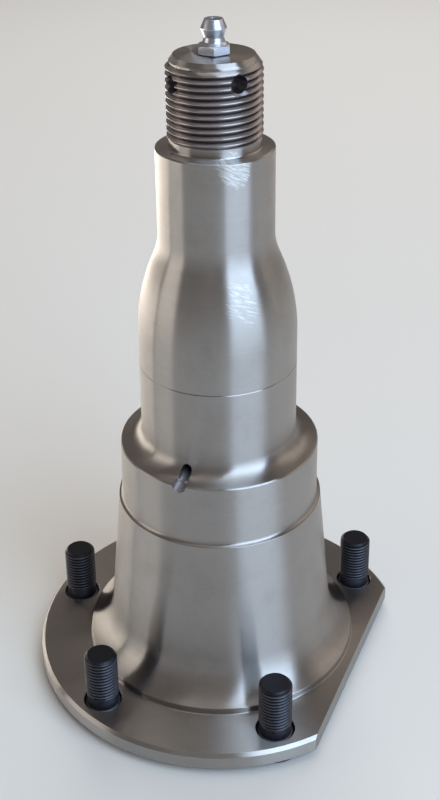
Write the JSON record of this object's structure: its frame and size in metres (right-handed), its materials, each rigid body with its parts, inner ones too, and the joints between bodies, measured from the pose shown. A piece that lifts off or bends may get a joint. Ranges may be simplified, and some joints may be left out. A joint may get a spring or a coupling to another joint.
{
  "type": "axle spindle",
  "caption": "Turned steel trailer wheel spindle with stepped bearing seats, a threaded nose with a grease nipple and a D-shaped brake flange with studs.",
  "frame": {"origin": "centre of the flange's back face, on the spindle's axis", "axes": "+Z along the spindle's axis towards its threaded nose, +X square out of the flat on the flange's edge"},
  "size_m": [0.0985, 0.1112, 0.1966],
  "materials": {
    "turned_steel": "bright, fine lathe-turned lines round the axis",
    "black_oxide_steel": "satin black oxide",
    "zinc_plated_steel": "bright bluish zinc plate",
    "hardened_steel": "polished"
  },
  "bodies": {
    "spindle_assembly": {"spindle": "turned_steel", "stud_1": "black_oxide_steel", "stud_2": "black_oxide_steel", "stud_3": "black_oxide_steel", "stud_4": "black_oxide_steel", "stud_5": "black_oxide_steel", "nipple_body": "zinc_plated_steel", "nipple_spring": "hardened_steel"},
    "check_ball": {"nipple_ball": "hardened_steel"}
  },
  "joints": [
    {"name": "check_ball_slide", "type": "slide", "parent": "spindle_assembly", "child": "check_ball", "axis": [0, 0, -1], "range_m": [0, 0.001], "stiffness_N_per_m": 200, "springref_m": -0.001, "deforming": ["nipple_spring"]}
  ]
}
